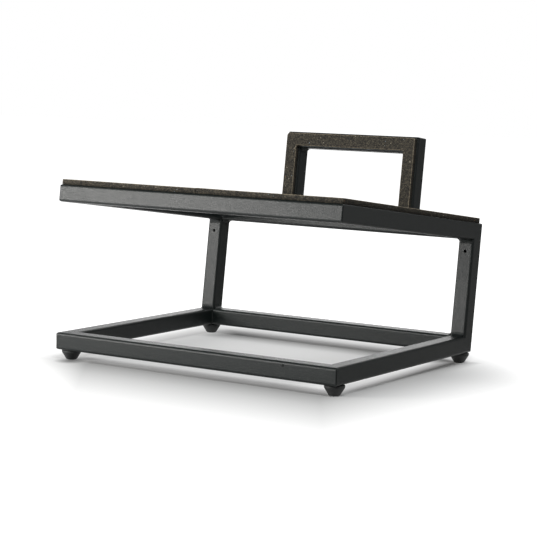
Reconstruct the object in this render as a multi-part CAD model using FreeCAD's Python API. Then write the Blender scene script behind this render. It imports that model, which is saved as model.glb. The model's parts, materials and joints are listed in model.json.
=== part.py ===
import FreeCAD, Part
import math
import os

from FreeCAD import Placement, Rotation, Vector

# Low speaker stand of welded square tube. Millimetres, +Z up, +X to the stand's right, front at -Y.
# The origin is on the floor, under the middle of the stand's overall outline.

# Square tube
tube = 20.0
tube_wall = 1.5
tube_corner_radius = 3.0

# Welded frame
base_width = 380.0
base_depth = 300.0
lean_angle = 7.4          # degrees that the uprights and backrest lean back, and the seat rises to the front
frame_height = 151.0      # along an upright, from the base's underside to the top of the seat rails
seat_depth = 316.0        # along the seat, over the front and rear rails
backrest_width = 188.0
backrest_rise = 98.0      # along the backrest, above the top of the seat rails
front_edge_radius = 1.3   # ground mitres at the front corners
rear_edge_radius = 2.5    # ground mitres at the rear corners and the backrest's top corners
weld_leg = 5.0
vent_diameter = 3.5
vent_drop = 14.2          # vent's centre below the underside of the seat rail

# Cork-rubber strips
pad_thickness = 6.0
seat_pad_inset = 1.8      # from each edge of the tube below
backrest_pad_inset = 2.6
pad_seam = 0.4            # gap where two strips meet

# Screw-in feet
foot_height = 11.4
foot_top_diameter = 22.4
foot_tip_diameter = 11.5
foot_rim_height = 2.5
foot_side_inset = 11.2    # foot's centre from the side of the base
foot_front_inset = 15.0   # and from its front
foot_rear_inset = 9.0     # and from its rear
foot_travel = 5.0         # that a foot can be screwed out
stud_engagement = 6.0     # thread still in the insert when a foot is screwed right out
stud_diameter = 6.0
stud_head_width = 10.0    # across flats
stud_head_height = 4.0
stud_clearance = 0.05     # radial, in the insert's thread
insert_width = 9.0        # across the flats of its hex shank
insert_clearance = 0.05   # each side, in the punched hole in the tube
insert_length = 12.0
insert_flange_diameter = 13.0
insert_flange_thickness = 0.8

# Plugs in the lower ends of the backrest posts
plug_head_thickness = 2.0
plug_depth = 12.0
plug_wall = 2.0
plug_clearance = 0.1

# Directions: right along X, and the leaning pair that the uprights and the seat follow
lean = math.radians(lean_angle)
right = Vector(1, 0, 0)
back = Vector(0, 1, 0)
above = Vector(0, 0, 1)
up = Vector(0, math.sin(lean), math.cos(lean))
ahead = Vector(0, -math.cos(lean), math.sin(lean))

half_tube = tube / 2
flat_width = tube - 2 * tube_corner_radius
side_x = base_width / 2 - half_tube
inner_x = base_width / 2 - tube
backrest_x = backrest_width / 2 - half_tube
seat_top = frame_height
seat_underside = frame_height - tube
backrest_top = frame_height + backrest_rise
plug_foot = seat_underside + tube_corner_radius
post_foot = plug_foot + plug_head_thickness

base_z = foot_height + insert_flange_thickness
foot_overhang = max(foot_top_diameter / 2 - foot_front_inset, 0)
backrest_overhang = (
    (backrest_top - tube_corner_radius) * math.sin(lean)
    + (tube - tube_corner_radius) * math.cos(lean)
    + tube_corner_radius
)
base_front_y = (foot_overhang - base_depth - backrest_overhang) / 2
base_rear_y = base_front_y + base_depth

sides = {"left": -1, "right": 1}


def leaning(x, forward, height):
    """Point in the leaning frame, measured from the lower rear edge of the base."""
    return Vector(x, base_rear_y, base_z) + ahead * forward + up * height


def square_bar(size, length):
    """Solid square bar along +X from the origin."""
    return Part.makeBox(length, size, size, Vector(0, -size / 2, -size / 2))


def rounded_bar(size, radius, length):
    """Square bar with its four long edges rounded."""
    bar = square_bar(size, length)
    long_edges = [edge for edge in bar.Edges if abs(edge.tangentAt(edge.FirstParameter).x) > 0.5]
    return bar.makeFillet(radius, long_edges)


def hollow_bar(size, radius, wall, length):
    """Square tube along +X from the origin."""
    return rounded_bar(size, radius, length).cut(square_bar(size - 2 * wall, length))


def set_along(shape, start, along, face):
    """Turn a bar from +X to the given direction, one of its faces looking along face."""
    turned = shape.copy()
    turned.Placement = Placement(start, Rotation(along, face.cross(along), face, "XYZ"))
    return turned


def mitre(shape, corner, along, neighbour):
    """Cut a tube's end where a neighbour leaves the same corner in another direction."""
    reach = 4 * tube
    waste = Part.makeBox(reach, reach, reach, Vector(-reach / 2, -reach / 2, 0))
    waste.Placement = Placement(corner, Rotation(above, neighbour - along))
    return shape.cut(waste)


def tube_between(start, end, face, start_neighbour=None, end_neighbour=None):
    """Tube on a centreline, mitred to a neighbour or cut square at each end."""
    along = (end - start).normalize()
    lead = tube if start_neighbour else 0
    tail = tube if end_neighbour else 0
    length = lead + (end - start).Length + tail
    bar = hollow_bar(tube, tube_corner_radius, tube_wall, length)
    run = set_along(bar, start - along * lead, along, face)
    if start_neighbour:
        run = mitre(run, start, along, start_neighbour)
    if end_neighbour:
        run = mitre(run, end, along * -1, end_neighbour)
    return run


def corner_wedge(corner, first, second, radius, run):
    """Prism between two faces and an arc that is tangent to both, swept along their shared edge."""
    half_angle = first.getAngle(second) / 2
    leg = radius / math.tan(half_angle)
    bisector = (first + second).normalize()
    middle = corner + bisector * (radius / math.sin(half_angle) - radius)
    first_end = corner + first * leg
    second_end = corner + second * leg
    outline = Part.Wire([
        Part.LineSegment(corner, first_end).toShape(),
        Part.Arc(first_end, middle, second_end).toShape(),
        Part.LineSegment(second_end, corner).toShape(),
    ])
    return Part.Face(outline).extrude(run)


def cylinder(start, along, radius, length):
    return Part.makeCylinder(radius, length, start, along)


def hexagon(start, width, length):
    """Upright hex bar, given its width across flats."""
    reach = width / 2 / math.cos(math.pi / 6)
    turns = [step * math.pi / 3 for step in range(6)]
    corners = [start + Vector(reach * math.cos(turn), reach * math.sin(turn), 0) for turn in turns]
    return prism(corners, above * length)


def revolved(outline):
    """Solid of revolution about Z from (radius, height) points."""
    points = [Vector(radius, 0, height) for radius, height in outline]
    face = Part.Face(Part.makePolygon(points + points[:1]))
    return face.revolve(Vector(), above, 360)


def prism(points, depth):
    return Part.Face(Part.makePolygon(points + points[:1])).extrude(depth)


def frame_tubes():
    """Base ring, uprights, seat frame and backrest, before their corners are ground."""
    tubes = {}
    front_base = {}
    front_top = {}
    rear_climb = half_tube * (1 - math.sin(lean)) / math.cos(lean)
    for side, sign in sides.items():
        inward = right * -sign
        x = sign * side_x
        front_base[side] = Vector(x, base_front_y + half_tube, base_z + half_tube)
        rear_base = leaning(x, half_tube, rear_climb)
        rear_top = leaning(x, half_tube, seat_top - half_tube)
        front_top[side] = leaning(x, seat_depth - half_tube, seat_top - half_tube)
        tubes[side + "_base_bar"] = tube_between(front_base[side], rear_base, right, inward, up)
        tubes[side + "_upright"] = tube_between(rear_base, rear_top, right, back * -1, ahead)
        tubes[side + "_seat_rail"] = tube_between(rear_top, front_top[side], right, up * -1, inward)

    tubes["base_front_bar"] = tube_between(front_base["left"], front_base["right"], above, back, back)
    tubes["seat_front_rail"] = tube_between(front_top["left"], front_top["right"], up, ahead * -1, ahead * -1)
    base_rear = Vector(0, base_rear_y - half_tube, base_z + half_tube)
    tubes["base_rear_bar"] = tube_between(base_rear - right * inner_x, base_rear + right * inner_x, above)
    seat_rear = leaning(0, half_tube, seat_top - half_tube)
    tubes["seat_rear_rail"] = tube_between(seat_rear - right * inner_x, seat_rear + right * inner_x, up)

    head = {}
    for side, sign in sides.items():
        foot = leaning(sign * backrest_x, -half_tube, post_foot)
        head[side] = leaning(sign * backrest_x, -half_tube, backrest_top - half_tube)
        tubes["backrest_" + side + "_post"] = tube_between(foot, head[side], right, None, right * -sign)
    tubes["backrest_top_bar"] = tube_between(head["left"], head["right"], up, up * -1, up * -1)
    return tubes


def grind_corners(tubes):
    """Round the outer edge of each mitre, on both of the tubes that meet there."""
    over = tube_corner_radius
    run = tube + 2 * over
    for side, sign in sides.items():
        outer = sign * base_width / 2
        inward = right * -sign
        rear_run = right * run
        rear_start = sign * side_x - run / 2
        back_corner = sign * backrest_width / 2
        grinds = [
            ("base_front_bar", side + "_base_bar", front_edge_radius,
             Vector(outer, base_front_y, base_z - over), inward, back, above * run),
            ("seat_front_rail", side + "_seat_rail", front_edge_radius,
             leaning(outer, seat_depth, seat_underside - over), inward, ahead * -1, up * run),
            (side + "_base_bar", side + "_upright", rear_edge_radius,
             leaning(rear_start, 0, 0), back * -1, up, rear_run),
            (side + "_seat_rail", side + "_upright", rear_edge_radius,
             leaning(rear_start, 0, seat_top), ahead, up * -1, rear_run),
            ("backrest_top_bar", "backrest_" + side + "_post", rear_edge_radius,
             leaning(back_corner, -tube - over, backrest_top), inward, up * -1, ahead * run),
        ]
        for first_node, second_node, radius, corner, first, second, sweep in grinds:
            waste = corner_wedge(corner, first, second, radius, sweep)
            tubes[first_node] = tubes[first_node].cut(waste)
            tubes[second_node] = tubes[second_node].cut(waste)


def drill_vents(tubes):
    """One vent through the front wall of each upright."""
    for side, sign in sides.items():
        mouth = leaning(sign * side_x, tube + tube_wall, seat_underside - vent_drop)
        drill = cylinder(mouth, ahead * -1, vent_diameter / 2, 3 * tube_wall)
        tubes[side + "_upright"] = tubes[side + "_upright"].cut(drill)


def foot_places():
    """Corner of the base, its floor point and the tubes that its hole passes through."""
    foot_x = base_width / 2 - foot_side_inset
    rows = {"front": base_front_y + foot_front_inset, "rear": base_rear_y - foot_rear_inset}
    for row, y in rows.items():
        for side, sign in sides.items():
            punched = [side + "_base_bar"]
            if row == "front":
                punched.append("base_front_bar")
            yield row + "_" + side, Vector(sign * foot_x, y, 0), punched


def punch_foot_holes(tubes):
    """Hex hole for an insert, through the lower wall of each corner of the base."""
    for _, floor_point, punched in foot_places():
        start = floor_point + above * (base_z - tube_wall)
        punch = hexagon(start, insert_width + 2 * insert_clearance, 3 * tube_wall)
        for node in punched:
            tubes[node] = tubes[node].cut(punch)


def welds():
    """Painted fillets, as groups of separate beads, on the flats of the tubes that they join."""
    rail_flat = seat_underside + tube_corner_radius
    base_flat = base_z + tube_corner_radius
    base_top = base_z + tube
    front_climb = tube * (1 - math.sin(lean)) / math.cos(lean)
    upright_flat_y = base_rear_y + tube * math.tan(lean) - (tube - tube_corner_radius) / math.cos(lean)
    upright_seam = back * (base_rear_y - tube_corner_radius - upright_flat_y)
    post_flat = tube_corner_radius - tube
    post_seam = up * (seat_top - tube_corner_radius - post_foot)
    rise = above * flat_width
    climb = up * flat_width
    across = right * flat_width
    along_rail = ahead * flat_width
    forward = back * -1
    down = up * -1
    rearward = ahead * -1

    beads = {}
    for side, sign in sides.items():
        inward = right * -sign
        outward = right * sign
        inner = sign * inner_x
        flat_x = sign * side_x - flat_width / 2
        post_outer = sign * backrest_width / 2
        post_inner = sign * (backrest_width / 2 - tube)
        seams = {
            "base_corner_welds": [
                (Vector(inner, base_front_y + tube, base_flat), inward, back, rise),
                (Vector(inner, base_rear_y - tube, base_flat), inward, forward, rise),
            ],
            "upright_foot_welds": [
                (leaning(flat_x, tube, front_climb), forward, up, across),
                (Vector(inner, upright_flat_y, base_top), inward, above, upright_seam),
            ],
            "upright_head_welds": [
                (leaning(flat_x, tube, seat_underside), ahead, down, across),
                (leaning(inner, tube_corner_radius, seat_underside), inward, down, along_rail),
            ],
            "seat_corner_welds": [
                (leaning(inner, seat_depth - tube, rail_flat), inward, rearward, climb),
                (leaning(inner, tube, rail_flat), inward, ahead, climb),
            ],
            "backrest_welds": [
                (leaning(post_inner, post_flat, backrest_top - tube), inward, down, along_rail),
                (leaning(post_outer, 0, post_foot), outward, rearward, post_seam),
                (leaning(post_inner, 0, post_foot), inward, rearward, post_seam),
            ],
        }
        for group, places in seams.items():
            for corner, first, second, run in places:
                bead = corner_wedge(corner, first, second, weld_leg, run)
                beads.setdefault(group, []).append(bead)
    return {group: Part.makeCompound(solids) for group, solids in beads.items()}


def pads():
    """Seat ring in two halves, and the backrest's upside-down U."""
    strips = {}
    seam = pad_seam / 2
    seat_outer = base_width / 2 - seat_pad_inset
    seat_inner = inner_x + seat_pad_inset
    seat_front = seat_depth - seat_pad_inset
    seat_front_inner = seat_depth - tube + seat_pad_inset
    seat_rear = pad_thickness + pad_seam
    seat_rear_inner = tube - seat_pad_inset
    for side, sign in sides.items():
        outline = [
            (seam, seat_rear), (seat_outer, seat_rear), (seat_outer, seat_front), (seam, seat_front),
            (seam, seat_front_inner), (seat_inner, seat_front_inner),
            (seat_inner, seat_rear_inner), (seam, seat_rear_inner),
        ]
        points = [leaning(sign * x, forward, seat_top) for x, forward in outline]
        strips["seat_pad_" + side] = prism(points, up * pad_thickness)

    outer = backrest_width / 2 - backrest_pad_inset
    inner = backrest_width / 2 - tube + backrest_pad_inset
    top = backrest_top - backrest_pad_inset
    inner_top = backrest_top - tube + backrest_pad_inset
    foot = seat_top + pad_thickness + pad_seam
    outline = [
        (-outer, foot), (-outer, top), (outer, top), (outer, foot),
        (inner, foot), (inner, inner_top), (-inner, inner_top), (-inner, foot),
    ]
    points = [leaning(x, 0, height) for x, height in outline]
    strips["backrest_pad"] = prism(points, ahead * pad_thickness)
    return strips


def post_plugs():
    """Plug in the lower end of each backrest post, its head level with the foot of the rail's flat."""
    plugs = {}
    shank_size = tube - 2 * tube_wall - 2 * plug_clearance
    head = rounded_bar(tube, tube_corner_radius, plug_head_thickness)
    shank = square_bar(shank_size, plug_head_thickness + plug_depth)
    hollow = square_bar(shank_size - 2 * plug_wall, plug_depth)
    hollow.translate(right * plug_head_thickness)
    plug = head.fuse(shank).cut(hollow).removeSplitter()
    for side, sign in sides.items():
        start = leaning(sign * backrest_x, -half_tube, plug_foot)
        plugs["backrest_" + side + "_plug"] = set_along(plug, start, up, right)
    return plugs


def feet():
    """Cone foot with its stud moulded in, and the riveted insert that the stud screws into."""
    tip = foot_tip_diameter / 2
    top = foot_top_diameter / 2
    rim_z = foot_height - foot_rim_height
    cone = revolved([(0, 0), (tip, 0), (top, rim_z), (top, foot_height), (0, foot_height)])

    head_z = (foot_height - stud_head_height) / 2
    head = hexagon(above * head_z, stud_head_width, stud_head_height)
    shank_length = base_z + foot_travel + stud_engagement - head_z
    shank = cylinder(above * head_z, above, stud_diameter / 2, shank_length)
    stud = head.fuse(shank).removeSplitter()
    cone = cone.cut(stud)

    flange_foot = above * foot_height
    flange = cylinder(flange_foot, above, insert_flange_diameter / 2, insert_flange_thickness)
    sleeve = hexagon(above * base_z, insert_width, insert_length)
    thread_length = insert_flange_thickness + insert_length
    thread = cylinder(flange_foot, above, stud_diameter / 2 + stud_clearance, thread_length)
    insert = flange.fuse(sleeve).cut(thread).removeSplitter()

    pieces = {}
    for name, floor_point, _ in foot_places():
        for ending, shape in {"_foot": cone, "_foot_stud": stud, "_foot_insert": insert}.items():
            placed = shape.copy()
            placed.translate(floor_point)
            pieces[name + ending] = placed
    return pieces


def main():
    nodes = frame_tubes()
    grind_corners(nodes)
    drill_vents(nodes)
    punch_foot_holes(nodes)
    nodes.update(welds())
    nodes.update(pads())
    nodes.update(post_plugs())
    nodes.update(feet())

    os.makedirs("parts", exist_ok=True)
    for node, shape in nodes.items():
        if not shape.isValid():
            raise ValueError("invalid solid: " + node)
        shape.exportStep(os.path.join("parts", node + ".step"))
        print(node, len(shape.Solids), "solid(s)", round(shape.Volume), "mm3")


main()
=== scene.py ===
import json
import math
import bmesh
import bpy
from mathutils import Matrix, Vector, noise


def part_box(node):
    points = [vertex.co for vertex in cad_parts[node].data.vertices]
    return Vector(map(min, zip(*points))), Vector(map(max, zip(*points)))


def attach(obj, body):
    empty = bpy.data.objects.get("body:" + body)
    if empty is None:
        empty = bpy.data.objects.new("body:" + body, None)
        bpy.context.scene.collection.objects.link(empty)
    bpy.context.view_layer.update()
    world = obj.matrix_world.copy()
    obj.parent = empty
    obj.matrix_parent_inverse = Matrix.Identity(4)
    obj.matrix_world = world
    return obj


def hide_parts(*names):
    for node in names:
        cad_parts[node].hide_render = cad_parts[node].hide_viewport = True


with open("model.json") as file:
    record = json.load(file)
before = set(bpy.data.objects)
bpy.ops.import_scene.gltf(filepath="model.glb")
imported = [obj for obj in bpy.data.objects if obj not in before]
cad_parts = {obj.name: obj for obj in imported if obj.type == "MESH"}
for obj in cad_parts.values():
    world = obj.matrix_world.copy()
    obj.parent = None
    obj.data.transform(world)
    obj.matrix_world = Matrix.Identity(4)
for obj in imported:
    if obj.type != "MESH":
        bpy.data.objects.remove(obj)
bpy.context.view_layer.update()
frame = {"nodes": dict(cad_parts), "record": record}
nodes = frame["nodes"]
scene = bpy.context.scene
scene.view_settings.view_transform = "Standard"
print("frame loaded:", len(nodes), "nodes")

# the stand leans: seatUp is square to the seat, seatAhead runs along it to the front
mounts = {mount["name"]: mount for mount in frame["record"]["mounts"]}
seatUp = Vector(mounts["speaker_rest_left"]["axis"]).normalized()
seatAhead = Vector(mounts["speaker_back_stop"]["axis"]).normalized()
across = Vector((1, 0, 0))
corners = ["front_left", "front_right", "rear_left", "rear_right"]


# camera, placed from the photograph's straight edges
cameraSet = {
    "location": (1.16578, -1.75882, 0.34854),
    "lookAt": (-0.01028, -0.00732, 0.10588),
    "roll": 1.086,  # degrees
    "lens": 122.0,
    "sensor": 36,
    "clipEnd": 50,
}


def aimed(place, aim):
    turn = (Vector(aim) - Vector(place)).to_track_quat("-Z", "Y").to_matrix().to_4x4()
    return Matrix.Translation(place) @ turn


def placeCamera():
    data = bpy.data.cameras.new("photoCamera")
    data.lens = cameraSet["lens"]
    data.sensor_width = cameraSet["sensor"]
    data.clip_end = cameraSet["clipEnd"]
    camera = bpy.data.objects.new("photoCamera", data)
    scene.collection.objects.link(camera)
    roll = Matrix.Rotation(math.radians(cameraSet["roll"]), 4, "Z")
    camera.matrix_world = aimed(cameraSet["location"], cameraSet["lookAt"]) @ roll
    scene.camera = camera


placeCamera()
print("camera placed")


# node helpers
def addNode(tree, kind, links=None, **settings):
    node = tree.nodes.new(kind)
    for name, value in settings.items():
        setattr(node, name, value)
    for name, value in (links or {}).items():
        if isinstance(value, bpy.types.NodeSocket):
            tree.links.new(value, node.inputs[name])
        else:
            node.inputs[name].default_value = value
    return node


def calc(tree, operation, first, second, clamp=False):
    sockets = {0: first, 1: second}
    return addNode(tree, "ShaderNodeMath", sockets, operation=operation, use_clamp=clamp).outputs[0]


def remap(tree, value, fromLow, fromHigh, toLow=0.0, toHigh=1.0):
    sockets = {"Value": value, "From Min": fromLow, "From Max": fromHigh}
    sockets |= {"To Min": toLow, "To Max": toHigh}
    return addNode(tree, "ShaderNodeMapRange", sockets).outputs[0]


def spread(tree, value, ends):
    return remap(tree, value, 0.0, 1.0, *ends)


def distanceTo(tree, where, place):
    offset = addNode(tree, "ShaderNodeVectorMath", {0: where, 1: place}, operation="DISTANCE")
    return offset.outputs["Value"]


def mixColour(tree, factor, first, second):
    return addNode(tree, "ShaderNodeMix", {0: factor, 6: first, 7: second}, data_type="RGBA").outputs[2]


def noiseAt(tree, where, scale, detail, roughness):
    sockets = {"Vector": where, "Scale": scale, "Detail": detail, "Roughness": roughness}
    return addNode(tree, "ShaderNodeTexNoise", sockets).outputs[0]


def newGroup(name, takes, gives):
    group = bpy.data.node_groups.new(name, "ShaderNodeTree")
    for direction, labels in (("INPUT", takes), ("OUTPUT", gives)):
        for label in labels:
            kind = "NodeSocketVector" if label == "Vector" else "NodeSocketFloat"
            group.interface.new_socket(name=label, in_out=direction, socket_type=kind)
    return group, group.nodes.new("NodeGroupInput").outputs, group.nodes.new("NodeGroupOutput").inputs


def useGroup(tree, group, where, settings):
    return addNode(tree, "ShaderNodeGroup", {"Vector": where, **settings}, node_tree=group).outputs


def newMaterial(name, **constants):
    material = bpy.data.materials.new(name)
    material.use_nodes = True
    tree = material.node_tree
    shader = tree.nodes["Principled BSDF"]
    for label, value in constants.items():
        shader.inputs[label.replace("_", " ")].default_value = value
    where = tree.nodes.new("ShaderNodeTexCoord").outputs["Object"]
    return material, tree, shader.inputs, where


def bumpTo(tree, shader, height, strength, distance):
    bump = addNode(tree, "ShaderNodeBump", {"Strength": strength, "Distance": distance, "Height": height})
    tree.links.new(bump.outputs["Normal"], shader["Normal"])


# shared effects: fine grain, slow mottling, scattered flecks
effectSet = {
    "noiseEnds": (0.3, 0.7),  # where nearly all of a noise lies
    "coarseNoise": (2.0, 0.5),  # detail, roughness
    "fineNoise": (1.0, 0.5),
    "fineRatio": 2.7,
    "cloudNoise": (4.0, 0.6),
    "fleckCore": 0.6,
}


def makeGrain():
    group, takes, gives = newGroup("fineGrain", ["Vector", "Scale", "Fine Share"], ["Height", "Shade"])
    coarse = noiseAt(group, takes["Vector"], takes["Scale"], *effectSet["coarseNoise"])
    fineScale = calc(group, "MULTIPLY", takes["Scale"], effectSet["fineRatio"])
    fine = noiseAt(group, takes["Vector"], fineScale, *effectSet["fineNoise"])
    sockets = {0: calc(group, "SUBTRACT", fine, coarse), 1: takes["Fine Share"], 2: coarse}
    height = addNode(group, "ShaderNodeMath", sockets, operation="MULTIPLY_ADD").outputs[0]
    group.links.new(height, gives["Height"])
    group.links.new(remap(group, height, *effectSet["noiseEnds"]), gives["Shade"])
    return group


def makeMottle():
    group, takes, gives = newGroup("slowMottle", ["Vector", "Scale", "Low", "High"], ["Value"])
    cloud = noiseAt(group, takes["Vector"], takes["Scale"], *effectSet["cloudNoise"])
    value = remap(group, cloud, *effectSet["noiseEnds"], takes["Low"], takes["High"])
    group.links.new(value, gives["Value"])
    return group


def makeFlecks():
    group, takes, gives = newGroup("scatteredFlecks", ["Vector", "Scale", "Share", "Size"], ["Mask"])
    cells = addNode(group, "ShaderNodeTexVoronoi", {"Vector": takes["Vector"], "Scale": takes["Scale"]})
    draw = addNode(group, "ShaderNodeSeparateColor", {"Color": cells.outputs["Color"]}).outputs[0]
    chosen = calc(group, "LESS_THAN", draw, takes["Share"])
    core = calc(group, "MULTIPLY", takes["Size"], effectSet["fleckCore"])
    near = remap(group, cells.outputs["Distance"], core, takes["Size"], 1.0, 0.0)
    group.links.new(calc(group, "MULTIPLY", chosen, near), gives["Mask"])
    return group


grainGroup = makeGrain()
mottleGroup = makeMottle()
fleckGroup = makeFlecks()


# matte black powder coat on tubes and welds
coatSet = {
    "dark": (0.0033, 0.0046, 0.0044, 1),
    "light": (0.0086, 0.0120, 0.0116, 1),
    "specular": 0.3,
    "rough": (0.25, 0.51),
    "grain": {"Scale": 700.0, "Fine Share": 0.45},
    "grainShare": 0.9,
    "cloud": {"Scale": 45.0, "Low": 0.0, "High": 1.0},
    "cloudShare": 0.1,
    "bump": (1.0, 0.00028),  # strength, distance
    "speck": (0.08, 0.082, 0.08, 1),
    "specks": {"Scale": 480.0, "Share": 0.40, "Size": 0.20},
    "speckStrength": 0.35,
    "nibTintAndVentShade": (0.003, 0.003, 0.003, 1),
    "nibTintAndVentShadeRough": 0.4,
    "nibPlace": (0.1233, -0.1757, 0.0281),  # one nib in the paint of the base's front bar
    "nibSize": 0.0016,
    "nibHeight": 4.0,
    "vents": [(-0.18, 0.12013, 0.1305), (0.18, 0.12013, 0.1305)],  # painted shade: the coat is darkened inside them
    "ventReach": (0.002, 0.00216),
}


def makeCoat():
    material, tree, shader, where = newMaterial("blackPowderCoat", Specular_IOR_Level=coatSet["specular"])
    grain = useGroup(tree, grainGroup, where, coatSet["grain"])
    cloud = useGroup(tree, mottleGroup, where, coatSet["cloud"])
    specks = useGroup(tree, fleckGroup, where, coatSet["specks"])
    fine = calc(tree, "MULTIPLY", grain["Shade"], coatSet["grainShare"])
    slow = calc(tree, "MULTIPLY", cloud["Value"], coatSet["cloudShare"])
    tone = calc(tree, "ADD", fine, slow)
    colour = mixColour(tree, tone, coatSet["dark"], coatSet["light"])
    speckMask = calc(tree, "MULTIPLY", specks["Mask"], coatSet["speckStrength"])
    colour = mixColour(tree, speckMask, colour, coatSet["speck"])
    nib = remap(tree, distanceTo(tree, where, coatSet["nibPlace"]), 0.0, coatSet["nibSize"], 1.0, 0.0)
    # the nib's own dark tint, and painted shade inside the vent holes
    nibTintAndVentShade = nib
    for place in coatSet["vents"]:
        hole = remap(tree, distanceTo(tree, where, place), *coatSet["ventReach"], 1.0, 0.0)
        nibTintAndVentShade = calc(tree, "MAXIMUM", nibTintAndVentShade, hole)
    tree.links.new(mixColour(tree, nibTintAndVentShade, colour, coatSet["nibTintAndVentShade"]), shader["Base Color"])
    rough = spread(tree, tone, coatSet["rough"])
    nibTintAndVentShadeRough = calc(tree, "MULTIPLY", nibTintAndVentShade, coatSet["nibTintAndVentShadeRough"])
    tree.links.new(calc(tree, "ADD", rough, nibTintAndVentShadeRough), shader["Roughness"])
    nibHeight = calc(tree, "MULTIPLY", nib, coatSet["nibHeight"])
    bumpTo(tree, shader, calc(tree, "ADD", grain["Height"], nibHeight), *coatSet["bump"])
    return material


# cork crumbs bound in dark rubber, paler along the cut edges: partly wear, partly a painted highlight
corkSet = {
    "rubber": (0.007, 0.0064, 0.0053, 1),
    "crumb": (0.090, 0.077, 0.055, 1),
    "crumbScale": 1150.0,
    "crumbPower": 2.2,
    "crumbDepth": -0.6,
    "wornAndLitEdge": (0.30, 0.25, 0.18, 1),
    "wornAndLitEnds": (0.25, 1.0),
    "specular": 0.3,
    "rough": (0.72, 0.92),
    "grain": {"Scale": 1500.0, "Fine Share": 0.5},
    "cloud": {"Scale": 60.0, "Low": 0.9, "High": 1.1},
    "bump": (0.8, 0.0004),
    "flecks": [
        ((0.62, 0.55, 0.43, 1), {"Scale": 240.0, "Share": 0.14, "Size": 0.12}),
        ((0.45, 0.20, 0.08, 1), {"Scale": 271.2, "Share": 0.05, "Size": 0.12}),
        ((0.46, 0.54, 0.60, 1), {"Scale": 314.4, "Share": 0.13, "Size": 0.12}),
    ],
}


def makeCork():
    material, tree, shader, where = newMaterial("corkRubberSheet", Specular_IOR_Level=corkSet["specular"])
    cells = addNode(tree, "ShaderNodeTexVoronoi", {"Vector": where, "Scale": corkSet["crumbScale"]})
    draw = addNode(tree, "ShaderNodeSeparateColor", {"Color": cells.outputs["Color"]}).outputs[0]
    grain = useGroup(tree, grainGroup, where, corkSet["grain"])
    cloud = useGroup(tree, mottleGroup, where, corkSet["cloud"])
    crumbTone = calc(tree, "POWER", draw, corkSet["crumbPower"])
    crumbTone = calc(tree, "MULTIPLY", crumbTone, cloud["Value"], clamp=True)
    colour = mixColour(tree, crumbTone, corkSet["rubber"], corkSet["crumb"])
    for fleckColour, settings in corkSet["flecks"]:
        flecks = useGroup(tree, fleckGroup, where, settings)
        colour = mixColour(tree, flecks["Mask"], colour, fleckColour)
    # the cut edges are lighter: partly wear, partly a painted highlight
    edge = addNode(tree, "ShaderNodeAttribute", attribute_name="wornAndLitEdge").outputs["Fac"]
    wornAndLitEdge = calc(tree, "MULTIPLY", edge, spread(tree, draw, corkSet["wornAndLitEnds"]))
    tree.links.new(mixColour(tree, wornAndLitEdge, colour, corkSet["wornAndLitEdge"]), shader["Base Color"])
    tree.links.new(spread(tree, grain["Shade"], corkSet["rough"]), shader["Roughness"])
    crumbHeight = calc(tree, "MULTIPLY", cells.outputs["Distance"], corkSet["crumbDepth"])
    bumpTo(tree, shader, calc(tree, "ADD", crumbHeight, grain["Height"]), *corkSet["bump"])
    return material


# hard black rubber of the feet
footRubberSet = {
    "dark": (0.0105, 0.0112, 0.0112, 1),
    "light": (0.020, 0.0212, 0.0212, 1),
    "specular": 0.4,
    "rough": (0.45, 0.62),
    "grain": {"Scale": 900.0, "Fine Share": 0.4},
    "cloud": {"Scale": 120.0, "Low": 0.0, "High": 1.0},
    "bump": (0.4, 0.0002),
}


def makeFootRubber():
    specular = footRubberSet["specular"]
    material, tree, shader, where = newMaterial("hardFootRubber", Specular_IOR_Level=specular)
    grain = useGroup(tree, grainGroup, where, footRubberSet["grain"])
    cloud = useGroup(tree, mottleGroup, where, footRubberSet["cloud"])
    colour = mixColour(tree, cloud["Value"], footRubberSet["dark"], footRubberSet["light"])
    tree.links.new(colour, shader["Base Color"])
    tree.links.new(spread(tree, grain["Shade"], footRubberSet["rough"]), shader["Roughness"])
    bumpTo(tree, shader, grain["Height"], *footRubberSet["bump"])
    return material


# bright zinc plate on studs and inserts
zincSet = {
    "dull": (0.50, 0.51, 0.52, 1),
    "bright": (0.70, 0.71, 0.72, 1),
    "rough": (0.42, 0.26),
    "grain": {"Scale": 2600.0, "Fine Share": 0.5},
    "cloud": {"Scale": 380.0, "Low": 0.0, "High": 1.0},
    "bump": (0.2, 0.0001),
}


def makeZinc():
    material, tree, shader, where = newMaterial("brightZincPlate", Metallic=1.0)
    cloud = useGroup(tree, mottleGroup, where, zincSet["cloud"])
    grain = useGroup(tree, grainGroup, where, zincSet["grain"])
    colour = mixColour(tree, cloud["Value"], zincSet["dull"], zincSet["bright"])
    tree.links.new(colour, shader["Base Color"])
    tree.links.new(spread(tree, cloud["Value"], zincSet["rough"]), shader["Roughness"])
    bumpTo(tree, shader, grain["Height"], *zincSet["bump"])
    return material


# moulded plugs in the backrest posts
plugSet = {
    "dark": (0.014, 0.014, 0.0145, 1),
    "light": (0.024, 0.024, 0.0245, 1),
    "specular": 0.45,
    "rough": (0.5, 0.66),
    "grain": {"Scale": 1300.0, "Fine Share": 0.3},
    "bump": (0.35, 0.0002),
}


def makePlugPlastic():
    specular = plugSet["specular"]
    material, tree, shader, where = newMaterial("mouldedPlugPlastic", Specular_IOR_Level=specular)
    grain = useGroup(tree, grainGroup, where, plugSet["grain"])
    colour = mixColour(tree, grain["Shade"], plugSet["dark"], plugSet["light"])
    tree.links.new(colour, shader["Base Color"])
    tree.links.new(spread(tree, grain["Shade"], plugSet["rough"]), shader["Roughness"])
    bumpTo(tree, shader, grain["Height"], *plugSet["bump"])
    return material


finishes = {
    "frame_paint": makeCoat(),
    "cork_rubber": makeCork(),
    "foot_rubber": makeFootRubber(),
    "zinc_steel": makeZinc(),
    "plug_plastic": makePlugPlastic(),
}
print("materials made:", len(finishes))


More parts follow.
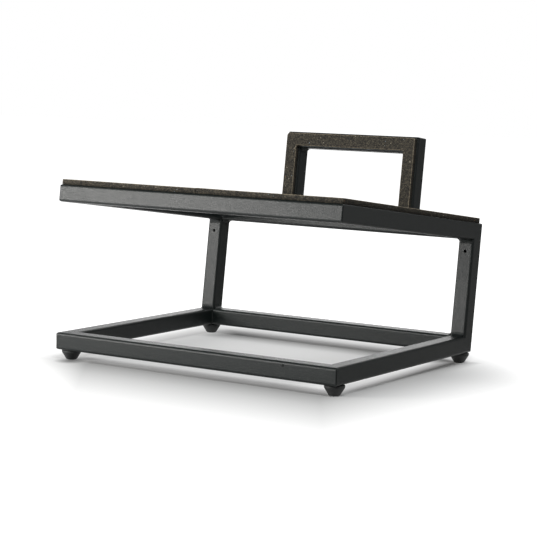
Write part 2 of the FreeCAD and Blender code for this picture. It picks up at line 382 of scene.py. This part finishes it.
def dressNodes():
    for row in frame["record"]["subparts"]:
        mesh = nodes[row["node"]].data
        mesh.materials.clear()
        mesh.materials.append(finishes[row["material_slot"]])


dressNodes()
print("CAD nodes dressed")


# new pieces; lengths in metres
meshSet = {
    "merge": 1e-6,
    "flatAngle": 0.5,  # degrees
    "cut": 1e-6,
    "fineCut": 1e-7,
}


def newPiece(name, bm, body, slot, replaced):
    mesh = bpy.data.meshes.new(name)
    bm.to_mesh(mesh)
    bm.free()
    mesh.materials.append(finishes[slot])
    piece = bpy.data.objects.new(name, mesh)
    scene.collection.objects.link(piece)
    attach(piece, body)
    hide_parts(*replaced)
    return piece


def mergedCopy(node):
    bm = bmesh.new()
    bm.from_mesh(nodes[node].data)
    bmesh.ops.remove_doubles(bm, verts=bm.verts, dist=meshSet["merge"])
    flatAngle = math.radians(meshSet["flatAngle"])
    bmesh.ops.dissolve_limit(bm, angle_limit=flatAngle, verts=bm.verts, edges=bm.edges)
    return bm


def roundEdges(bm, edges, offset, segments):
    return bmesh.ops.bevel(bm, geom=edges, offset=offset, offset_type="OFFSET", segments=segments,
                           profile=0.5, affect="EDGES", material=-1, clamp_overlap=True)


def everyPart(bm):
    return bm.verts[:] + bm.edges[:] + bm.faces[:]


def sliceAcross(bm, normal, spacing):
    reach = [vert.co.dot(normal) for vert in bm.verts]
    count = max(1, round((max(reach) - min(reach)) / spacing))
    for step in range(1, count):
        level = min(reach) + (max(reach) - min(reach)) * step / count
        bmesh.ops.bisect_plane(bm, geom=everyPart(bm), dist=meshSet["cut"],
                               plane_co=normal * level, plane_no=normal)


def smoothFaces(bm):
    for face in bm.faces:
        face.smooth = True


# die-cut sheet: crisp outline, soft edge marked for wear and a painted highlight, a face that isn't quite
# flat
padSet = {
    "edge": 0.0007,
    "edgeSteps": 4,
    "wornAndLitBand": (0.02, 0.9),  # shares of the edge's depth
    "backCorners": {-1: 0.0038, 1: 0.0014},  # left and right, as cut by hand
    "cornerSteps": 5,
    "cornerSlack": 1e-4,
    "raised": 0.0005,  # the backrest strip's top edge
    "raisedBand": 0.005,
    "buttReach": 0.001,
    "alignment": 0.9,
    "spacing": 0.003,
    "uneven": 0.00016,
    "waves": [(90, 0.6), (420, 0.4)],  # scale, share
    "sink": 0.3,
    "gluedBand": 0.0005,
    "lipNode": "seat_pad_right",  # this strip stands a little proud at the butt joint
    "lip": 0.0003,
    "lipReach": 0.03,
}


def cutBackCorners(bm):
    top = max(vert.co.dot(seatUp) for vert in bm.verts) - padSet["cornerSlack"]
    for side, offset in padSet["backCorners"].items():
        outer = max(side * vert.co.x for vert in bm.verts) - padSet["cornerSlack"]
        cut = [edge for edge in bm.edges
               if all(vert.co.dot(seatUp) > top and side * vert.co.x > outer for vert in edge.verts)]
        roundEdges(bm, cut, offset, padSet["cornerSteps"])
    for vert in bm.verts:
        if vert.co.dot(seatUp) > top - padSet["raisedBand"]:
            vert.co += seatUp * padSet["raised"]


def softenEdges(bm, facing):
    wornAndLitEdge = bm.verts.layers.float.new("wornAndLitEdge")
    alignment = padSet["alignment"]
    edges = [edge for edge in bm.edges
             if sorted(face.normal.dot(facing) > alignment for face in edge.link_faces) == [False, True]]
    if facing is seatUp:
        edges += [edge for edge in bm.edges
                  if all(abs(vert.co.x) < padSet["buttReach"] for vert in edge.verts)
                  and abs((edge.verts[0].co - edge.verts[1].co).normalized().dot(seatUp)) > alignment]
    soft = roundEdges(bm, edges, padSet["edge"], padSet["edgeSteps"])
    faceLevel = max(vert.co.dot(facing) for vert in bm.verts)
    shallow, deep = padSet["wornAndLitBand"]
    # marks the edge band for wear and a painted highlight
    for vert in soft["verts"]:
        drop = faceLevel - vert.co.dot(facing)
        vert[wornAndLitEdge] = 1.0 if shallow < drop / padSet["edge"] < deep else 0.0


def unevenFace(bm, node, facing):
    glued = min(vert.co.dot(facing) for vert in bm.verts) + padSet["gluedBand"]
    for vert in bm.verts:
        if vert.co.dot(facing) > glued:
            swell = sum(share * noise.noise(vert.co * scale) for scale, share in padSet["waves"])
            vert.co += vert.normal * padSet["uneven"] * (swell - padSet["sink"])
            if node == padSet["lipNode"]:
                vert.co += facing * padSet["lip"] * math.exp(-(vert.co.x / padSet["lipReach"]) ** 2)


def makePad(node, facing):
    bm = mergedCopy(node)
    if facing is seatAhead:
        cutBackCorners(bm)
    bm.normal_update()
    softenEdges(bm, facing)
    for normal in (across, seatUp if facing is seatAhead else seatAhead):
        sliceAcross(bm, normal, padSet["spacing"])
    bm.normal_update()
    unevenFace(bm, node, facing)
    smoothFaces(bm)
    piece = newPiece(node + "_sheet", bm, "stand", "cork_rubber", [node])


for padNode in ("seat_pad_left", "seat_pad_right"):
    makePad(padNode, seatUp)
makePad("backrest_pad", seatAhead)
print("pads laid")


def spinOutline(bm, middle, outline, steps, turns=1, **settings):
    verts = [bm.verts.new((middle.x + radius, middle.y, height)) for radius, height in outline]
    edges = [bm.edges.new(pair) for pair in zip(verts, verts[1:])]
    bmesh.ops.spin(bm, geom=verts + edges, cent=(middle.x, middle.y, 0), axis=(0, 0, 1),
                   angle=2 * math.pi * turns, steps=steps * turns, **settings)
    bmesh.ops.remove_doubles(bm, verts=bm.verts, dist=meshSet["merge"])


# turned cone feet, hollow for their moulded-in studs
footSet = {
    "tip": 0.00575,
    "rim": 0.0025,
    "tipRound": 0.0015,
    "rimRound": 0.0009,
    "topRound": 0.0005,
    "roundSteps": 4,
    "ringSlack": 1e-5,
    "stud": 0.00305,
    "head": 0.0058,
    "headLow": 0.0037,
    "headHigh": 0.0077,
    "steps": 72,
}


def makeFoot(corner):
    low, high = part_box(corner + "_foot")
    middle = (low + high) / 2
    wide = (high.x - low.x) / 2
    tall = high.z - low.z
    tip, stud, head = footSet["tip"], footSet["stud"], footSet["head"]
    rimLow = tall - footSet["rim"]
    outline = [
        (0, 0), (tip, 0), (wide, rimLow), (wide, tall), (stud, tall), (stud, footSet["headHigh"]),
        (head, footSet["headHigh"]), (head, footSet["headLow"]), (0, footSet["headLow"]),
    ]
    bm = bmesh.new()
    raised = [(radius, low.z + height) for radius, height in outline]
    spinOutline(bm, middle, raised, footSet["steps"], use_merge=True)
    bmesh.ops.recalc_face_normals(bm, faces=bm.faces)
    slack = footSet["ringSlack"]
    for radius, height, offset in (
        (tip, 0, footSet["tipRound"]),
        (wide, rimLow, footSet["rimRound"]),
        (wide, tall, footSet["topRound"]),
    ):
        ring = [edge for edge in bm.edges
                if all(abs(vert.co.z - low.z - height) < slack
                       and abs((vert.co.xy - middle.xy).length - radius) < slack for vert in edge.verts)]
        roundEdges(bm, ring, offset, footSet["roundSteps"])
    smoothFaces(bm)
    bmesh.ops.recalc_face_normals(bm, faces=bm.faces)
    newPiece(corner + "_turned_foot", bm, corner + "_levelling_foot", "foot_rubber", [corner + "_foot"])


studSet = {
    "pitch": 0.001,
    "crest": 0.003,
    "root": 0.00245,
    "profile": [("root", 0), ("root", 0.2), ("crest", 0.53), ("crest", 0.67), ("root", 1)],  # in pitches
    "lead": 1.5,  # pitches below the start, cut off again
    "spareTurns": 2,
    "steps": 36,
    "headTall": 0.004,
    "headWide": 0.00577,
    "headSides": 6,
    "headRound": 0.0003,
    "headSteps": 2,
}


def makeStud(corner):
    low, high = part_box(corner + "_foot_stud")
    middle = (low + high) / 2
    pitch = studSet["pitch"]
    start = low.z + studSet["headTall"] / 2
    turns = math.ceil((high.z - start) / pitch) + studSet["spareTurns"]
    outline = [(studSet[side], start + (rise - studSet["lead"]) * pitch)
               for side, rise in studSet["profile"]]
    bm = bmesh.new()
    spinOutline(bm, middle, outline, studSet["steps"], turns, dvec=(0, 0, pitch / studSet["steps"]))
    for level, keepAbove in ((start, True), (high.z, False)):
        cut = bmesh.ops.bisect_plane(bm, geom=everyPart(bm), dist=meshSet["fineCut"],
                                     plane_co=(0, 0, level), plane_no=(0, 0, 1),
                                     clear_inner=keepAbove, clear_outer=not keepAbove)
        rim = [item for item in cut["geom_cut"] if isinstance(item, bmesh.types.BMEdge)]
        bmesh.ops.edgeloop_fill(bm, edges=rim)
    bmesh.ops.recalc_face_normals(bm, faces=bm.faces)
    wide = studSet["headWide"]
    place = Matrix.Translation((middle.x, middle.y, start))
    head = bmesh.ops.create_cone(bm, cap_ends=True, segments=studSet["headSides"], radius1=wide,
                                 radius2=wide, depth=studSet["headTall"], matrix=place)
    headEdges = dict.fromkeys(edge for vert in head["verts"] for edge in vert.link_edges)
    manifold = [edge for edge in headEdges if edge.is_manifold]
    roundEdges(bm, manifold, studSet["headRound"], studSet["headSteps"])
    body = corner + "_levelling_foot"
    newPiece(corner + "_threaded_stud", bm, body, "zinc_steel", [corner + "_foot_stud"])


for corner in corners:
    makeFoot(corner)
    makeStud(corner)
print("feet turned and threaded")


# hand-run fillets, rippled along the seam
beadSet = {
    "nodes": [
        "base_corner_welds",
        "upright_foot_welds",
        "upright_head_welds",
        "seat_corner_welds",
        "backrest_welds",
    ],
    "spacing": 0.0007,
    "pitch": 0.0023,
    "ripple": 0.00016,
    "uneven": 0.00025,
    "unevenScale": 300,
    "endFade": 0.001,
    "lineSlack": 1e-6,
    "groundNode": "base_corner_welds",  # ground back to this share of its size
    "groundBack": 0.3,
}


# in the mesh's own order, so that the ripple starts at the same end each run
def islandsOf(bm):
    reached = set()
    for start in bm.faces[:]:
        if start in reached:
            continue
        reached.add(start)
        island = [start]
        for face in island:
            for edge in face.edges:
                for other in edge.link_faces:
                    if other not in reached:
                        reached.add(other)
                        island.append(other)
        yield island


def vertsOf(faces):
    return dict.fromkeys(vert for face in faces for vert in face.verts)


def grindBack(island, heel, run):
    for vert in vertsOf(island):
        reach = vert.co - heel
        vert.co -= (reach - run * reach.dot(run)) * (1 - beadSet["groundBack"])


def rippleAt(place, along, length):
    lift = beadSet["ripple"] * math.sin(2 * math.pi * along / beadSet["pitch"])
    lift += beadSet["uneven"] * noise.noise(place * beadSet["unevenScale"])
    ends = min(1.0, along / beadSet["endFade"], (length - along) / beadSet["endFade"])
    return lift * max(0.0, ends)


def runBead(bm, island, ground):
    strips = sorted((face for face in island if len(face.verts) == 4), key=lambda face: face.calc_area())
    flats = strips[-2:]
    flatVerts = vertsOf(flats)
    middle = [vert for vert in vertsOf(strips[:-2]) if vert not in flatVerts]
    end, origin = [face.calc_center_median() for face in island if len(face.verts) > 4]
    run = (end - origin).normalized()
    length = (end - origin).length
    if ground:
        heel = next(vert.co.copy() for vert in flats[1].verts if vert in flats[0].verts)
        grindBack(island, heel, run)
    geom = list(dict.fromkeys(item for face in island for item in (face, *face.edges, *face.verts)))
    count = round(length / beadSet["spacing"])
    for step in range(1, count):
        level = length * step / count
        geom = bmesh.ops.bisect_plane(bm, geom=geom, dist=meshSet["fineCut"],
                                      plane_co=origin + run * level, plane_no=run)["geom"]
    bm.normal_update()
    curve = [vert.co - run * (vert.co - origin).dot(run) for vert in middle]
    for item in geom:
        if isinstance(item, bmesh.types.BMVert) and item.is_valid:
            along = (item.co - origin).dot(run)
            flat = item.co - run * along
            if any((flat - point).length < beadSet["lineSlack"] for point in curve):
                item.co += item.normal * rippleAt(item.co, along, length)


def makeBeads(node):
    bm = mergedCopy(node)
    for island in list(islandsOf(bm)):
        runBead(bm, island, node == beadSet["groundNode"])
    smoothFaces(bm)
    newPiece(node.replace("welds", "fillets"), bm, "stand", "frame_paint", [node])


for beadNode in beadSet["nodes"]:
    makeBeads(beadNode)
print("weld fillets run")


# floor and light
# painted shadow on the floor: its glow is held low by the base ring and clears to white away from it,
# soonest at the left and the rear, with painted light inside the ring; all reaches are measured from the
# boxes of the front and rear bars
floorSet = {
    "size": 12.0,
    "colour": (0.45, 0.45, 0.45, 1),
    "front": (0.0, -0.281),
    "rear": (0.0, 0.11),
    "left": (0.045, -0.09),
    "right": (0.01, 0.208),
    "shear": 1.2,  # the left end slants to the right before the stand
    "bend": 5.5,  # the right end bends in towards the rear
    "bendPower": 2.0,
    "bendRight": (0.015, 0.035),
    "bendRear": (-0.014, 0.006),
    "slant": 0.05,  # the shade of the right bar widens to the rear
    "curve": (0.6, 0.9),  # as reflected, as seen
    "innerFront": (0.01, 0.045),
    "innerRear": (-0.01, -0.045),
    "innerRight": (0.01, -0.01),
    "inside": (0.32, 0.5),  # painted light within the ring: in the middle, beside the right bar
    "insideRight": (-0.07, -0.02),
    "contactFoot": "front_left_foot",
    "contactShift": Vector((0.0066, -0.010)),
    "contactReach": (0.002, 0.020),
    "contactShade": (0.3, 1.0),
}


def flatSheet(name, width, height, place, material):
    bm = bmesh.new()
    bmesh.ops.create_grid(bm, x_segments=1, y_segments=1, size=0.5)
    bmesh.ops.scale(bm, verts=bm.verts, vec=(width, height, 1))
    bmesh.ops.transform(bm, verts=bm.verts, matrix=place)
    mesh = bpy.data.meshes.new(name)
    bm.to_mesh(mesh)
    bm.free()
    mesh.materials.append(material)
    sheet = bpy.data.objects.new(name, mesh)
    scene.collection.objects.link(sheet)
    return sheet


def seenRays(tree):
    light = tree.nodes.new("ShaderNodeLightPath").outputs
    seen = calc(tree, "MAXIMUM", light["Is Camera Ray"], light["Is Transmission Ray"])
    return calc(tree, "MAXIMUM", seen, light["Is Glossy Ray"])


def makeFloor():
    material, tree, shader, where = newMaterial("paleFloor", Roughness=1.0, Specular_IOR_Level=0.0)
    shader["Emission Color"].default_value = (1, 1, 1, 1)
    low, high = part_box("base_front_bar")[0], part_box("base_rear_bar")[1]
    x, y = addNode(tree, "ShaderNodeSeparateXYZ", {0: where}).outputs[:2]

    def fade(value, side, name, *ends):
        return remap(tree, value, *[side + reach for reach in floorSet[name]], *ends)

    ahead = calc(tree, "MINIMUM", calc(tree, "SUBTRACT", y, low.y), 0.0)
    sheared = calc(tree, "ADD", x, calc(tree, "MULTIPLY", ahead, floorSet["shear"]))
    bendRight = fade(x, high.x, "bendRight", 0.0, floorSet["bend"])
    bendRear = fade(y, high.y, "bendRear", 0.0, floorSet["bend"])
    behind = calc(tree, "POWER", calc(tree, "MAXIMUM", y, 0.0), floorSet["bendPower"])
    bent = calc(tree, "MULTIPLY", behind, calc(tree, "MAXIMUM", bendRight, bendRear))
    slant = calc(tree, "MULTIPLY", y, floorSet["slant"])
    outer = calc(tree, "SUBTRACT", calc(tree, "ADD", x, bent), slant)
    inner = calc(tree, "ADD", x, slant)
    away = fade(y, low.y, "front")
    for side in (fade(y, high.y, "rear"), fade(sheared, low.x, "left"), fade(outer, high.x, "right")):
        away = calc(tree, "MAXIMUM", away, side)
    within = fade(y, low.y, "innerFront")
    for side in (fade(y, high.y, "innerRear"), fade(inner, high.x, "innerRight")):
        within = calc(tree, "MINIMUM", within, side)
    within = calc(tree, "MULTIPLY", within, fade(x, high.x, "insideRight", *floorSet["inside"]))
    camera = tree.nodes.new("ShaderNodeLightPath").outputs["Is Camera Ray"]
    outside = calc(tree, "POWER", away, spread(tree, camera, floorSet["curve"]))
    lift = calc(tree, "MAXIMUM", within, outside)
    # a shade before one foot, where the key box leaves none
    footLow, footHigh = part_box(floorSet["contactFoot"])
    contactPlace = ((footLow + footHigh) / 2).xy + floorSet["contactShift"]
    reach = distanceTo(tree, where, (*contactPlace, 0))
    contact = remap(tree, reach, *floorSet["contactReach"], *floorSet["contactShade"])
    lift = calc(tree, "MULTIPLY", lift, contact)
    # painted shadow: the colour darkens before the front left foot, and the glow is held low near the
    # stand
    tree.links.new(mixColour(tree, contact, (0, 0, 0, 1), floorSet["colour"]), shader["Base Color"])
    tree.links.new(calc(tree, "MULTIPLY", lift, seenRays(tree)), shader["Emission Strength"])
    flatSheet("studioFloor", floorSet["size"], floorSet["size"], Matrix.Identity(4), material)


worldSet = {
    "colour": (1, 1, 1, 1),
    "strength": (0.32, 1.0),  # as light, as seen
}


def makeWorld():
    world = bpy.data.worlds.new("studioWorld")
    world.use_nodes = True
    scene.world = world
    tree = world.node_tree
    background = tree.nodes["Background"]
    background.inputs["Color"].default_value = worldSet["colour"]
    tree.links.new(spread(tree, seenRays(tree), worldSet["strength"]), background.inputs["Strength"])


# glowing cards that only reflections see, painted reflections: dark before and above the stand, grey to
# the right and behind
cardSet = {
    "shades": {
        "dark": (0.03, 0.03, 0.03, 1),
        "grey": (0.37, 0.37, 0.365, 1),
        "fading": (0.37, 0.37, 0.365, 1),
    },
    "fade": (-0.14, 0.57, 1.5, 0.5),  # painted reflection, lighter at the right end
    "upright": {  # shade, place, width, height
        "front": ("dark", (1.9, -1.6, 0.8), 4.6, 1.6),
        "rear": ("fading", (0.72, 0.72, 0.45), 2.2, 0.9),
    },
    "level": {
        "overhead": ("dark", (0, 0, 1.6), 3.2, 3.2),
        "ahead": ("dark", (1.27, -1.2, 0.0015), 2.1, 2.0),
        "right": ("grey", (0.7, 0.5, 0.0015), 1.0, 1.6),
        "behind": ("fading", (-0.025, 0.75, 0.0015), 0.45, 1.1),
    },
}


def makeCardShade(shade):
    material, tree, shader, where = newMaterial(shade + "Card", Roughness=1.0, Specular_IOR_Level=0.0)
    shader["Base Color"].default_value = (0, 0, 0, 1)
    shader["Emission Color"].default_value = cardSet["shades"][shade]
    shader["Emission Strength"].default_value = 1.0
    if shade == "fading":
        x, y = addNode(tree, "ShaderNodeSeparateXYZ", {0: where}).outputs[:2]
        strength = remap(tree, calc(tree, "SUBTRACT", y, x), *cardSet["fade"])
        tree.links.new(strength, shader["Emission Strength"])
    return material


def makeCard(name, place, width, height, material):
    card = flatSheet(name + "Card", width, height, place, material)
    card.visible_camera = False
    card.visible_diffuse = False
    card.visible_transmission = False
    card.visible_shadow = False


def placeCards():
    shades = {shade: makeCardShade(shade) for shade in cardSet["shades"]}
    for name, (shade, place, width, height) in cardSet["upright"].items():
        makeCard(name, aimed(place, (0, 0, place[2])), width, height, shades[shade])
    for name, (shade, place, width, height) in cardSet["level"].items():
        makeCard(name, Matrix.Translation(place), width, height, shades[shade])


# bearing from the front, height angle, distance, width, height, watts, colour
lampSet = {
    "keyBox": (-37, 10, 1.4, 0.6, 0.4, 15.5, (1, 0.985, 0.96)),
    "fillBox": (42, 45, 2.0, 0.7, 0.5, 20.0, (0.98, 1, 0.995)),
    "rearBox": (180, 40, 2.0, 0.7, 0.5, 3.8, (1, 1, 1)),
    "sideBox": (-146.5, 13, 2.0, 0.8, 0.7, 2.65, (1, 1, 1)),
}
lampAim = Vector((0, 0, 0.12))


def placeLamps():
    for name, (bearing, rise, distance, width, height, watts, colour) in lampSet.items():
        data = bpy.data.lights.new(name, "AREA")
        data.shape = "RECTANGLE"
        data.size = width
        data.size_y = height
        data.energy = watts
        data.color = colour
        lamp = bpy.data.objects.new(name, data)
        away = Vector((0, -math.cos(math.radians(rise)), math.sin(math.radians(rise)))) * distance
        away.rotate(Matrix.Rotation(math.radians(bearing), 3, "Z"))
        lamp.matrix_world = aimed(lampAim + away, lampAim)
        scene.collection.objects.link(lamp)


makeFloor()
makeWorld()
placeCards()
placeLamps()
print("floor and light placed")
